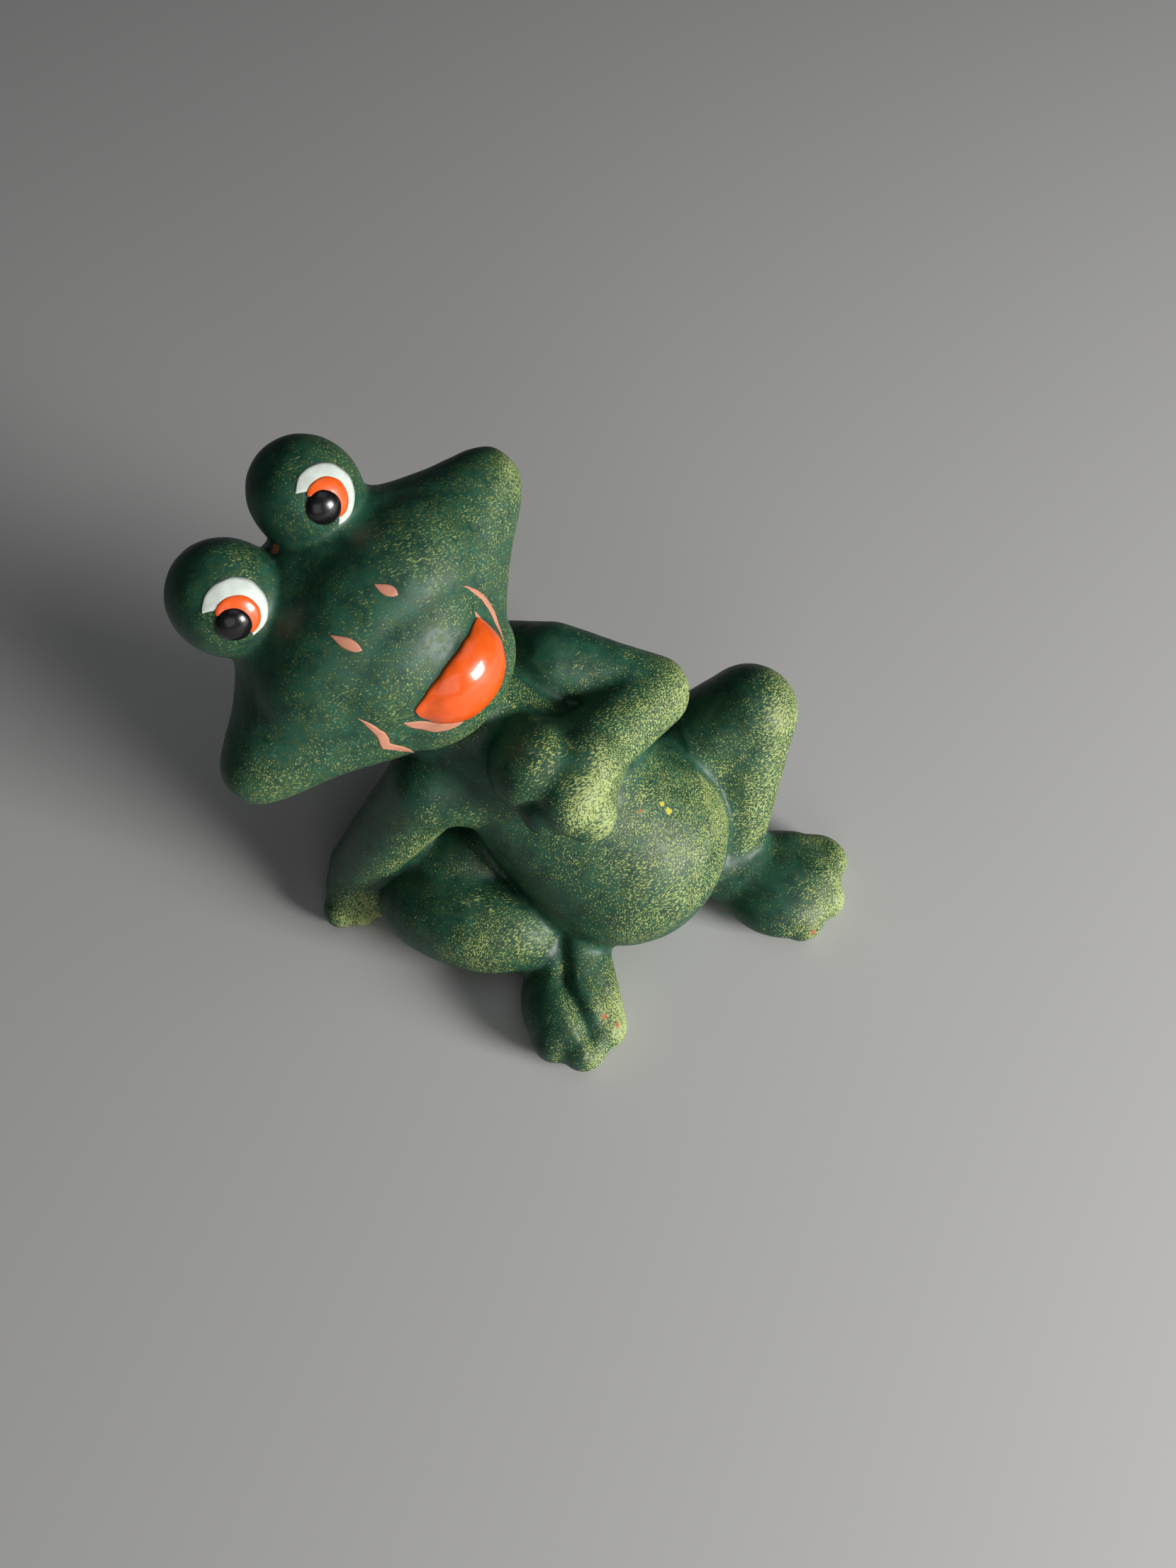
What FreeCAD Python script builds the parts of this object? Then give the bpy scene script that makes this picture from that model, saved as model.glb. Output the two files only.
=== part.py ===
"""Small painted terracotta frog figurine: the frog lounges on its seat, leans on its right arm and
holds its left hand under its chin.

The row frame is in millimetres, +Z up, with the frog facing -Y and its own left towards +X. The origin
is on the resting plane, under the middle of the figure's box. Points of the figure are given from the
seat, the spot on the resting plane under the belly, and every sub-part's Placement carries the seat to
its place from the origin. The clay pieces were shaped apart and luted together with slip, so each one is
cut back to the surface of the piece that it sits on.
"""
import FreeCAD, Part
import math
import os
import Sketcher

V = FreeCAD.Vector

# ---------------------------------------------------------------- driving dimensions, mm and degrees
DIMENSIONS = {
    # where the seat stands from the origin
    "seatX": 4.31,
    "seatY": -6.97,
    # belly, chest and neck, turned about the spine
    "bellyRadius": 12.2,
    "bellyShoulderAngle": 32.0,
    "chestRadius": 8.2,
    "chestHeight": 16.5,
    "neckRadius": 5.4,
    "neckHeight": 21.0,
    "spineLength": 29.0,
    "castWall": 3.2,
    "ventRadius": 2.0,
    # head, in its own frame: x to the frog's left, y backwards, z to the crown
    "headTurn": 12.5,
    "headTilt": -22.5,
    "headNod": -50.0,
    "cheekReach": 20.1,
    "snoutWidth": 9.5,
    "snoutDepth": 6.2,
    "snoutHeight": 6.6,
    "muzzleWidth": 13.4,
    "muzzleDepth": 7.9,
    "muzzleHeight": 7.7,
    "jawWidth": 7.6,
    "jawDepth": 5.4,
    "jawHeight": 5.0,
    "headHollowWidth": 11.0,
    "headHollowDepth": 5.6,
    "headHollowHeight": 6.6,
    "tongueWidth": 5.0,
    "tongueDepth": 3.9,
    "tongueHeight": 4.2,
    "leftEyeRadius": 5.0,
    "rightEyeRadius": 5.15,
    # limbs
    "leftShoulderRadius": 4.4,
    "leftElbowRadius": 4.0,
    "leftWristRadius": 3.7,
    "leftPalmRadius": 4.7,
    "leftFingerRadius": 2.1,
    "leftKnuckleRadius": 3.6,
    "leftCurledFingerRadius": 2.9,
    "rightShoulderRadius": 4.6,
    "rightCollarRadius": 6.3,
    "rightWristRadius": 3.3,
    "rightPalmRadius": 3.7,
    "rightFingerRadius": 2.1,
    "leftHipRadius": 6.2,
    "leftKneeRadius": 5.4,
    "leftAnkleRadius": 3.7,
    "rightLegHalfLength": 10.8,
    "rightLegHalfWidth": 5.6,
    "rightLegHalfHeight": 6.2,
    "rightThighRadius": 7.2,
    "leftWebHalfLength": 7.2,
    "leftWebHalfWidth": 6.6,
    "rightWebHalfLength": 6.4,
    "rightWebHalfWidth": 5.4,
    "webHalfHeight": 3.8,
    "heelRadius": 4.0,
    "toeRadius": 2.6,
    # enamel of the eyes, each in its eye's own frame: x to the frog's left, z up, looking along -y
    "leftEyeYaw": 7.0,
    "leftEyePitch": 16.0,
    "rightEyeYaw": -4.0,
    "rightEyePitch": 11.0,
    "leftGlanceAcross": -0.7,
    "leftGlanceUp": 0.15,
    "rightGlanceAcross": -1.0,
    "rightGlanceUp": -0.1,
    "enamelThickness": 0.16,
    "eyeWhiteRadius": 2.9,
    "crescentTurn": 18.0,
    "crescentGap": 0.92,
    "crescentInnerRadius": 2.24,
    "irisRadius": 1.76,
    "pupilRadius": 1.52,
    "pupilHeight": 0.5,
    "strokeThickness": 0.14,
}

# Painted strokes of the face, in the head's frame: name, node, middle across and up, turn of the bow's
# side, half length, outer and inner bow of the two arcs that bound it.
STROKES = (
    ("leftNostril", "left_nostril_mark", 3.05, 2.2, 14.5, 1.2, 0.48, -0.48),
    ("rightNostril", "right_nostril_mark", -2.6, 1.85, 15.0, 1.45, 0.48, -0.48),
    ("leftSmile", "left_smile_line", 7.0, -6.2, -12.0, 3.3, 1.5, 0.7),
    ("rightSmile", "right_smile_line", -7.2, -5.8, 190.0, 3.5, 1.5, 0.7),
    ("lipLine", "lower_lip_line", -3.2, -8.3, 232.0, 2.8, 1.2, 0.3),
    ("cornerMark", "mouth_corner_mark", 6.5, -6.6, 30.0, 0.8, 0.3, -0.3),
)

# Points from the seat, in the row frame.
POINTS = {
    "belly": (0.9, 1.4, 11.2),
    "neck": (-8.7, 13.5, 28.0),
    "head": (-14.7, 20.2, 42.0),
    "leftShoulder": (1.0, 14.2, 30.0),
    "leftCollar": (-1.7, 18.0, 28.0),
    "leftElbow": (9.0, 7.2, 26.5),
    "leftWrist": (0.0, 4.0, 29.5),
    "leftPalm": (-4.0, 2.4, 30.0),
    "leftKnuckle": (-7.2, 6.2, 31.2),
    "leftFingerB": (-9.2, 3.8, 31.5),
    "leftFingerC": (-8.6, 0.6, 31.0),
    "leftFingerD": (-5.8, -2.0, 29.6),
    "rightShoulder": (-15.4, 12.0, 25.0),
    "rightCollar": (-7.6, 9.6, 23.4),
    "rightWrist": (-24.5, 17.6, 6.8),
    "rightPalm": (-25.5, 17.0, 3.6),
    "rightFingerA": (-28.7, 15.9, 2.1),
    "rightFingerB": (-26.8, 14.8, 2.1),
    "rightFingerC": (-24.4, 14.6, 2.1),
    "leftHip": (7.0, 6.0, 11.0),
    "leftKnee": (19.4, 2.4, 19.5),
    "leftAnkle": (13.0, -4.8, 5.0),
    "leftHeel": (11.0, -6.0, 3.6),
    "leftWeb": (15.4, -11.3, 3.1),
    "leftToeA": (22.0, -12.0, 2.5),
    "leftToeB": (18.6, -15.6, 2.5),
    "leftToeC": (15.0, -16.2, 2.5),
    "rightLeg": (-17.4, 4.6, 6.0),
    "rightThigh": (-13.9, 11.2, 7.2),
    "rightHeel": (-9.6, -5.0, 3.6),
    "rightWeb": (-13.1, -8.9, 3.1),
    "rightToeA": (-16.8, -11.6, 2.5),
    "rightToeB": (-14.8, -14.2, 2.5),
    "rightToeC": (-11.6, -13.6, 2.5),
}

# Points of the head, in the head's own frame from its middle.
HEAD_POINTS = {
    "snout": (0.0, -4.6, -1.5),
    "muzzle": (0.1, -2.5, 1.0),
    "jaw": (0.8, -2.4, -8.2),
    "tongue": (1.5, -5.2, -7.2),
    "headHollow": (0.0, 0.5, 0.0),
    "leftEye": (5.5, -2.8, 12.05),
    "rightEye": (-5.85, -2.8, 11.8),
}

# Stations of the head from its middle to a cheek: name, share of the reach, half height, half depth,
# lift of the middle.
CHEEK_STATIONS = (
    ("Middle", 0.00, 12.0, 8.8, -0.4),
    ("Brow", 0.27, 10.9, 8.2, -0.2),
    ("Temple", 0.54, 7.3, 6.6, -0.1),
    ("Cheek", 0.75, 4.8, 4.7, -0.1),
    ("Tip", 0.92, 3.0, 3.0, 0.1),
    ("End", 1.00, 1.3, 1.2, 0.1),
)


def make_sheet(doc):
    """The spreadsheet that holds every driving dimension under its alias."""
    sheet = doc.addObject("Spreadsheet::Sheet", "Sizes")
    cells = dict(DIMENSIONS)
    for table in (POINTS, HEAD_POINTS):
        for name, place in table.items():
            for axis, value in zip("XYZ", place):
                cells[name + axis] = value
    for name, node, across, up, turn, half, outer, inner in STROKES:
        values = {"X": across, "Z": up, "Turn": turn, "Half": half, "OuterBow": outer, "InnerBow": inner}
        cells.update({name + what: value for what, value in values.items()})
    for name, share, height, depth, lift in CHEEK_STATIONS:
        cells["station" + name + "Share"] = share
        cells["station" + name + "Height"] = height
        cells["station" + name + "Depth"] = depth
        cells["station" + name + "Lift"] = lift
    for row, (alias, value) in enumerate(cells.items(), start=1):
        sheet.set("A%d" % row, alias)
        sheet.set("B%d" % row, str(value))
        sheet.setAlias("B%d" % row, alias)
    doc.recompute()
    return sheet


DOC = FreeCAD.newDocument("frog_figurine")
SIZES = make_sheet(DOC)


def size(alias):
    """A dimension's value, as the spreadsheet holds it."""
    return float(getattr(SIZES, alias))


def point(alias):
    """A named point's place, as the spreadsheet holds it."""
    return V(size(alias + "X"), size(alias + "Y"), size(alias + "Z"))


def bind(item, **expressions):
    """Bind properties of an object to spreadsheet expressions; in them # stands for the sheet."""
    for prop, expression in expressions.items():
        item.setExpression(prop.replace("_", "."), expression.replace("#", "Sizes."))
    return item


def put_at(item, centre):
    """Bind an object's place to a named point."""
    return bind(
        item,
        Placement_Base_x="#" + centre + "X",
        Placement_Base_y="#" + centre + "Y",
        Placement_Base_z="#" + centre + "Z",
    )


# ---------------------------------------------------------------- primitives bound to the sheet
def ball(centre, radius):
    item = DOC.addObject("Part::Sphere", centre + "Ball")
    bind(item, Radius="#" + radius)
    return put_at(item, centre)


def egg(centre, across, along, upright, turn=None, extra=""):
    """An ellipsoid: half widths along its own x, y and z, turned by a rotation."""
    item = DOC.addObject("Part::Ellipsoid", centre + "Egg")
    bind(item, Radius1="#" + upright + extra, Radius2="#" + across + extra, Radius3="#" + along + extra)
    if turn is not None:
        item.Placement = FreeCAD.Placement(V(0, 0, 0), turn)
    return put_at(item, centre)


def taper(start, end, start_radius, end_radius):
    """A cone frustum from one named point to another, just inside the balls at its ends."""
    line = point(end) - point(start)
    item = DOC.addObject("Part::Cone", start + "To" + end[0].upper() + end[1:])
    bind(item, Radius1="#%s * 0.995" % start_radius, Radius2="#%s * 0.995" % end_radius)
    span = "sqrt((#{1}X - #{0}X)^2 + (#{1}Y - #{0}Y)^2 + (#{1}Z - #{0}Z)^2)".format(start, end)
    bind(item, Height=span)
    item.Placement = FreeCAD.Placement(V(0, 0, 0), FreeCAD.Rotation(V(0, 0, 1), line))
    return put_at(item, start)


def join(name, items):
    item = DOC.addObject("Part::MultiFuse", name)
    item.Shapes = items
    item.Refine = False
    return item


def cut(name, base, tool):
    item = DOC.addObject("Part::Cut", name)
    item.Base = base
    item.Tool = tool
    item.Refine = False
    return item


def cut_all(name, base, tools):
    """Cut several tools from a base, one after another."""
    for n, tool in enumerate(tools, start=1):
        last = n == len(tools)
        base = cut(name if last else "%s_step%d" % (name, n), base, tool)
    return base


def ground_block():
    """What lies under the resting plane; every piece that reaches it is cut flat there."""
    item = DOC.addObject("Part::Box", "GroundBlock")
    item.Length = item.Width = 200
    item.Height = 40
    item.Placement = FreeCAD.Placement(V(-100, -100, -40), FreeCAD.Rotation())
    return item


# ---------------------------------------------------------------- torso
def spine_placement():
    lean = FreeCAD.Rotation(V(0, 0, 1), point("neck") - point("belly"))
    return FreeCAD.Placement(point("belly"), lean)


def torso_profile(body, name, inset):
    """Half outline in the body's XZ plane: the belly's arc, then chest, neck and the closing axis.
    The inset leaves a wall of that thickness, for the hollow."""
    less = " - #castWall" if inset else ""
    wall = size("castWall") if inset else 0.0
    belly = size("bellyRadius") - wall
    corner_angle = math.radians(size("bellyShoulderAngle"))
    chest = V(size("chestRadius") - wall, size("chestHeight"), 0)
    throat = V(size("neckRadius") - wall, size("neckHeight"), 0)
    top = size("spineLength")
    corner = V(belly * math.cos(corner_angle), belly * math.sin(corner_angle), 0)
    corners = [corner, chest, throat, V(throat.x, top, 0), V(0, top, 0), V(0, -belly, 0)]

    sketch = body.newObject("Sketcher::SketchObject", name)
    plane = next(f for f in body.Origin.OriginFeatures if f.Role == "XZ_Plane")
    sketch.AttachmentSupport = [(plane, "")]
    sketch.MapMode = "FlatFace"
    circle = Part.Circle(V(0, 0, 0), V(0, 0, 1), belly)
    sketch.addGeometry(Part.ArcOfCircle(circle, -math.pi / 2, corner_angle), False)
    for a, b in zip(corners, corners[1:]):
        sketch.addGeometry(Part.LineSegment(a, b), False)

    def rule(*what):
        return sketch.addConstraint(Sketcher.Constraint(*what))

    rule("Coincident", 0, 3, -1, 1)
    rule("PointOnObject", 0, 1, -2)
    for n in range(5):
        rule("Coincident", n, 2, n + 1, 1)
    rule("Coincident", 5, 2, 0, 1)
    rule("PointOnObject", 4, 2, -2)
    rule("Vertical", 3)
    rule("Horizontal", 4)
    driven = (
        ("belly", ("Radius", 0, belly), "#bellyRadius" + less),
        ("cornerUp", ("DistanceY", -1, 1, 0, 2, corner.y),
         "(#bellyRadius%s) * sin(#bellyShoulderAngle)" % less),
        ("chestOut", ("DistanceX", -1, 1, 1, 2, chest.x), "#chestRadius" + less),
        ("chestUp", ("DistanceY", -1, 1, 1, 2, chest.y), "#chestHeight"),
        ("neckOut", ("DistanceX", -1, 1, 2, 2, throat.x), "#neckRadius" + less),
        ("neckUp", ("DistanceY", -1, 1, 2, 2, throat.y), "#neckHeight"),
        ("topUp", ("DistanceY", -1, 1, 3, 2, top), "#spineLength"),
    )
    for label, what, expression in driven:
        index = rule(*what)
        sketch.renameConstraint(index, label)
        sketch.setExpression("Constraints." + label, expression.replace("#", "Sizes."))
    return sketch


def torso_body(name, hollow):
    """The torso turned about the spine, in a body of its own; the hollow is a groove inside it."""
    body = DOC.addObject("PartDesign::Body", name)
    outline = torso_profile(body, name + "Outline", False)
    turned = body.newObject("PartDesign::Revolution", name + "Turned")
    turned.Profile = outline
    turned.ReferenceAxis = (outline, ["V_Axis"])
    turned.Angle = 360
    DOC.recompute()
    if hollow:
        inner = torso_profile(body, name + "Inner", True)
        groove = body.newObject("PartDesign::Groove", name + "Hollow")
        groove.Profile = inner
        groove.ReferenceAxis = (inner, ["V_Axis"])
        groove.Angle = 360
        DOC.recompute()
    body.Placement = spine_placement()
    return body


def torso(ground):
    """Belly, chest and neck in one hollow casting, flat at the seat, with its vent hole there."""
    casting = torso_body("TorsoCasting", True)
    vent = DOC.addObject("Part::Cylinder", "VentHole")
    bind(vent, Radius="#ventRadius", Height="#bellyZ")
    bind(vent, Placement_Base_x="#bellyX", Placement_Base_y="#bellyY")
    return cut_all("Torso", casting, [ground, vent])


# ---------------------------------------------------------------- head
def head_placement():
    turn = FreeCAD.Rotation(size("headTurn"), size("headTilt"), size("headNod"))
    return FreeCAD.Placement(point("head"), turn)


def head_sections(suffix, extra):
    """Upright ellipses from the right cheek to the left one; the extra makes all of it that much fuller."""
    upright = FreeCAD.Rotation(V(0, 0, 1), V(0, -1, 0), V(1, 0, 0), "XYZ")
    stations = [(name, -1) for name, *_ in reversed(CHEEK_STATIONS)]
    stations += [(name, 1) for name, *_ in CHEEK_STATIONS[1:]]
    sections = []
    for name, side in stations:
        ring = DOC.addObject("Part::Ellipse", ("Left" if side > 0 else "Right") + name + suffix)
        ring.Placement = FreeCAD.Placement(V(0, 0, 0), upright)
        station = "#station" + name
        bind(ring, MajorRadius=station + "Height" + extra, MinorRadius=station + "Depth" + extra)
        bind(ring, Placement_Base_x="%d * (#cheekReach%s) * %sShare" % (side, extra, station))
        bind(ring, Placement_Base_z=station + "Lift")
        sections.append(ring)
    return sections


def head_form(suffix="Form", extra=""):
    """The wide head with its pointed cheeks, snout and lower jaw, in the head's own frame."""
    skull = DOC.addObject("Part::Loft", "Skull" + suffix)
    skull.Sections = head_sections(suffix, extra)
    skull.Solid = True
    skull.Ruled = False
    snout = egg("snout", "snoutWidth", "snoutDepth", "snoutHeight", None, extra)
    muzzle = egg("muzzle", "muzzleWidth", "muzzleDepth", "muzzleHeight", None, extra)
    jaw = egg("jaw", "jawWidth", "jawDepth", "jawHeight", None, extra)
    return join("Head" + suffix, [skull, snout, muzzle, jaw])


def in_head(item):
    """Carry an object from the head's own frame to the row frame."""
    carrier = DOC.addObject("Part::Compound", item.Name + "Placed")
    carrier.Links = [item]
    carrier.Placement = head_placement()
    return carrier


# ---------------------------------------------------------------- enamel and strokes
def common(name, base, tool):
    item = DOC.addObject("Part::Common", name)
    item.Base = base
    item.Tool = tool
    return item


def rod(name, radius, length):
    """A round rod along -Y from the middle of its own frame."""
    item = DOC.addObject("Part::Cylinder", name)
    bind(item, Radius=radius, Height=length)
    item.Placement = FreeCAD.Placement(V(0, 0, 0), FreeCAD.Rotation(V(0, 0, 1), V(0, -1, 0)))
    return item


def in_eye(side, item, name):
    """Carry an object from an eye's own frame, which looks along -Y, to the row frame."""
    look = DOC.addObject("Part::Compound", name + "Look")
    look.Links = [item]
    turn = FreeCAD.Rotation(size(side + "EyeYaw"), 0, size(side + "EyePitch"))
    look.Placement = FreeCAD.Placement(V(0, 0, 0), turn)
    put_at(look, side + "Eye")
    return in_head(look)


def eye_layers(side):
    """White crescent, iris and pupil of one eye, as enamel on the front of the eyeball."""
    radius = "#" + side + "EyeRadius"
    eye = size(side + "EyeRadius")
    across, up = size(side + "GlanceAcross"), size(side + "GlanceUp")
    lean = math.radians(size("crescentTurn"))
    open_x, open_z = -math.cos(lean), -math.sin(lean)

    def core(name, extra=""):
        item = DOC.addObject("Part::Sphere", side + name + "Core")
        return bind(item, Radius=radius + extra)

    def shifted(item, x, z):
        item.Placement = FreeCAD.Placement(V(x, 0, z), item.Placement.Rotation)
        return item

    white_rod = rod(side + "WhiteRod", "#eyeWhiteRadius", radius + " * 2")
    gap = size("crescentGap")
    gap_rod = rod(side + "GapRod", "#crescentInnerRadius", radius + " * 2")
    gap_rod = shifted(gap_rod, gap * open_x, gap * open_z)
    iris_rod = shifted(rod(side + "IrisRod", "#irisRadius", radius + " * 2"), across * 0.35, up * 0.35)
    pupil_rod = shifted(rod(side + "PupilRod", "#pupilRadius", radius + " * 2"), across, up)
    below = DOC.addObject("Part::Box", side + "BelowPupil")
    bind(below, Length=radius + " * 2", Width=radius + " * 4", Height=radius + " * 4")
    turn = FreeCAD.Rotation(V(0, 1, 0), -size("crescentTurn"))
    corner = V(across, 0, up) + turn.multVec(V(-2 * eye - 0.3, -2 * eye, -2 * eye))
    below.Placement = FreeCAD.Placement(corner, turn)

    dome = DOC.addObject("Part::Ellipsoid", side + "PupilDome")
    bind(dome, Radius1="#pupilHeight", Radius2="#pupilRadius", Radius3="#pupilRadius")
    outward = V(across, -math.sqrt(eye ** 2 - across ** 2 - up ** 2), up)
    dome.Placement = FreeCAD.Placement(outward, FreeCAD.Rotation(V(0, 0, 1), outward))

    ball_core = core("Eye")
    white = common(side + "WhiteLayer", core("White", " + #enamelThickness"), white_rod)
    iris = common(side + "IrisLayer", core("Iris", " + #enamelThickness * 1.4"), iris_rod)
    white = cut_all(side + "WhiteEnamel", white, [ball_core, gap_rod, iris_rod, pupil_rod])
    iris = cut_all(side + "IrisEnamel", iris, [ball_core, pupil_rod, below])
    pupil = cut_all(side + "PupilEnamel", common(side + "PupilLayer", dome, pupil_rod), [ball_core])
    return {side + "_eye_white": white, side + "_iris": iris, side + "_pupil": pupil}


def stroke(name, skin):
    """One brush stroke on the head: the skin between two arcs that share their ends."""
    prefix = "#" + name

    def arc(which, sign):
        item = rod(name + which + "Arc", "1 mm", "40 mm")
        half, bow, angle = prefix + "Half", "(%s%s)" % (prefix, which), prefix + "Turn"
        radius = "((%s^2 + %s^2) / (2 * abs(%s)))" % (half, bow, bow)
        shift = "(%s - %d * %s)" % (bow, sign, radius)
        bind(item, Radius=radius)
        bind(item, Placement_Base_x="%sX + cos(%s) * %s" % (prefix, angle, shift))
        return bind(item, Placement_Base_z="%sZ + sin(%s) * %s" % (prefix, angle, shift))

    outer = arc("OuterBow", 1)
    inner_sign = 1 if size(name + "InnerBow") > 0 else -1
    inner = arc("InnerBow", inner_sign)
    if inner_sign > 0:
        outline = cut(name + "Outline", outer, inner)
    else:
        outline = common(name + "Outline", outer, inner)
    return common(name + "Skin", skin, outline)


# ---------------------------------------------------------------- limbs
def left_arm_form():
    upper = taper("leftShoulder", "leftElbow", "leftShoulderRadius", "leftElbowRadius")
    fore = taper("leftElbow", "leftWrist", "leftElbowRadius", "leftWristRadius")
    parts = [
        ball("leftCollar", "leftShoulderRadius"),
        taper("leftCollar", "leftShoulder", "leftShoulderRadius", "leftShoulderRadius"),
        ball("leftShoulder", "leftShoulderRadius"),
        upper,
        ball("leftElbow", "leftElbowRadius"),
        fore,
        ball("leftWrist", "leftWristRadius"),
        taper("leftWrist", "leftPalm", "leftWristRadius", "leftPalmRadius"),
        ball("leftPalm", "leftPalmRadius"),
    ]
    fingers = {"leftKnuckle": "leftKnuckleRadius", "leftFingerB": "leftFingerRadius",
               "leftFingerC": "leftFingerRadius", "leftFingerD": "leftCurledFingerRadius"}
    for finger, radius in fingers.items():
        parts.append(taper("leftPalm", finger, "leftPalmRadius", radius))
        parts.append(ball(finger, radius))
    return join("LeftArmForm", parts)


def right_arm_form():
    parts = [
        taper("rightCollar", "rightShoulder", "rightCollarRadius", "rightShoulderRadius"),
        ball("rightShoulder", "rightShoulderRadius"),
        taper("rightShoulder", "rightWrist", "rightShoulderRadius", "rightWristRadius"),
        ball("rightWrist", "rightWristRadius"),
        taper("rightWrist", "rightPalm", "rightWristRadius", "rightPalmRadius"),
        ball("rightPalm", "rightPalmRadius"),
    ]
    for finger in ("rightFingerA", "rightFingerB", "rightFingerC"):
        parts.append(taper("rightPalm", finger, "rightPalmRadius", "rightFingerRadius"))
        parts.append(ball(finger, "rightFingerRadius"))
    return join("RightArmForm", parts)


def left_leg_form():
    parts = [
        ball("leftHip", "leftHipRadius"),
        taper("leftHip", "leftKnee", "leftHipRadius", "leftKneeRadius"),
        ball("leftKnee", "leftKneeRadius"),
        taper("leftKnee", "leftAnkle", "leftKneeRadius", "leftAnkleRadius"),
        ball("leftAnkle", "leftAnkleRadius"),
    ]
    return join("LeftLegForm", parts)


def level_heading(start, end):
    """The turn about Z that points an object's x from one named point towards another."""
    line = point(end) - point(start)
    return FreeCAD.Rotation(V(1, 0, 0), V(line.x, line.y, 0))


def right_leg_form():
    """Shin folded flat on the ground in front of the thick end of the thigh."""
    heading = level_heading("rightLeg", "rightHeel")
    shin = egg("rightLeg", "rightLegHalfLength", "rightLegHalfWidth", "rightLegHalfHeight", heading)
    return join("RightLegForm", [shin, ball("rightThigh", "rightThighRadius")])


def foot_form(side):
    """Heel, three toes and the thick web that joins them."""
    heel, web = side + "Heel", side + "Web"
    heading = level_heading(heel, side + "ToeB")
    parts = [ball(heel, "heelRadius")]
    parts.append(egg(web, web + "HalfLength", web + "HalfWidth", "webHalfHeight", heading))
    for toe in "ABC":
        tip = side + "Toe" + toe
        parts.append(taper(heel, tip, "heelRadius", "toeRadius"))
        parts.append(ball(tip, "toeRadius"))
    return join(side.capitalize() + "FootForm", parts)


# ---------------------------------------------------------------- assembly
def build():
    ground = ground_block()
    trunk = torso_body("TrunkForm", False)
    face = head_form()
    head = in_head(face)
    hollow = in_head(egg("headHollow", "headHollowWidth", "headHollowDepth", "headHollowHeight"))
    left_eye = in_head(ball("leftEye", "leftEyeRadius"))
    right_eye = in_head(ball("rightEye", "rightEyeRadius"))
    tongue = in_head(egg("tongue", "tongueWidth", "tongueDepth", "tongueHeight"))
    left_leg = left_leg_form()
    right_leg = right_leg_form()
    left_arm = left_arm_form()
    right_arm = right_arm_form()

    nodes = {
        "torso": torso(ground),
        "head": cut_all("Head", head, [trunk, hollow]),
        "left_eyeball": cut_all("LeftEyeball", left_eye, [head]),
        "right_eyeball": cut_all("RightEyeball", right_eye, [head, left_eye]),
        "tongue": cut_all("Tongue", tongue, [head]),
        "left_arm": cut_all("LeftArm", left_arm, [trunk, head]),
        "right_arm": cut_all("RightArm", right_arm, [trunk, head, ground]),
        "left_leg": cut_all("LeftLeg", left_leg, [trunk, left_arm, ground]),
        "right_leg": cut_all("RightLeg", right_leg, [trunk, right_arm, ground]),
        "left_foot": cut_all("LeftFoot", foot_form("left"), [trunk, left_leg, ground]),
        "right_foot": cut_all("RightFoot", foot_form("right"), [trunk, right_leg, ground]),
    }
    for side in ("left", "right"):
        for node, layer in eye_layers(side).items():
            nodes[node] = cut_all(node + "_paint", in_eye(side, layer, node), [head])
    skin = head_form("Skin", " + #strokeThickness")
    for name, node, *_ in STROKES:
        paint = cut_all(name + "Paint", stroke(name, skin), [face])
        nodes[node] = cut_all(node + "_paint", in_head(paint), [tongue])
    return nodes


def finish(nodes):
    """Place every sub-part from the origin, check it and write it."""
    for label, item in nodes.items():
        item.Label = label
        bind(item, Placement_Base_x="#seatX", Placement_Base_y="#seatY")
    DOC.recompute()
    for item in DOC.Objects:
        for bad in ("Invalid", "Error"):
            if bad in item.State:
                raise SystemExit("%s is %s" % (item.Name, bad))
    os.makedirs("parts", exist_ok=True)
    for label, item in nodes.items():
        shape = item.Shape
        if shape.isNull() or not shape.isValid() or not shape.Solids:
            raise SystemExit("%s has no valid solid" % label)
        shape.exportStep("parts/%s.step" % label)
        print("%-16s %2d solid(s) %9.2f mm3" % (label, len(shape.Solids), shape.Volume))


finish(build())
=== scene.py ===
import math

import bmesh
import bpy
import numpy as np
from mathutils import Matrix, Vector, noise
from mathutils.bvhtree import BVHTree
from mathutils.kdtree import KDTree


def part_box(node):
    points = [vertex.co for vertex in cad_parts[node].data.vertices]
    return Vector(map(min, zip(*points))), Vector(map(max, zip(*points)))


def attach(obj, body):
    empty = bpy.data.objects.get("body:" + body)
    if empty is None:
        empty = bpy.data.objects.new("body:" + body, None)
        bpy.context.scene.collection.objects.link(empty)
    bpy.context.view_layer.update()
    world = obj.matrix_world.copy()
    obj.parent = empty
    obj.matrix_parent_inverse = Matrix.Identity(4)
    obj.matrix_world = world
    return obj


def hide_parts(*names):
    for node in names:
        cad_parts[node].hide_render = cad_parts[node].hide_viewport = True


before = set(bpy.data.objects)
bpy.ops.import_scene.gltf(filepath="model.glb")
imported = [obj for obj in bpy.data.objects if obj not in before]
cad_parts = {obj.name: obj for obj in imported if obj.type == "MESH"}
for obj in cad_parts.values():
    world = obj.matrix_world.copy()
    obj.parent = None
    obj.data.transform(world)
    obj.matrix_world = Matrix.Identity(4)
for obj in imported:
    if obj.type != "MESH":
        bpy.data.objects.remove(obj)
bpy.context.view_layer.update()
mm = 0.001
print("frame loaded:", len(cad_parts), "nodes")


# general helpers

def collect(form, name):
    # a bmesh becomes a shown object at the origin, smooth shaded
    mesh = bpy.data.meshes.new(name)
    form.to_mesh(mesh)
    form.free()
    mesh.shade_smooth()
    piece = bpy.data.objects.new(name, mesh)
    bpy.context.scene.collection.objects.link(piece)
    return piece


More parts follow.
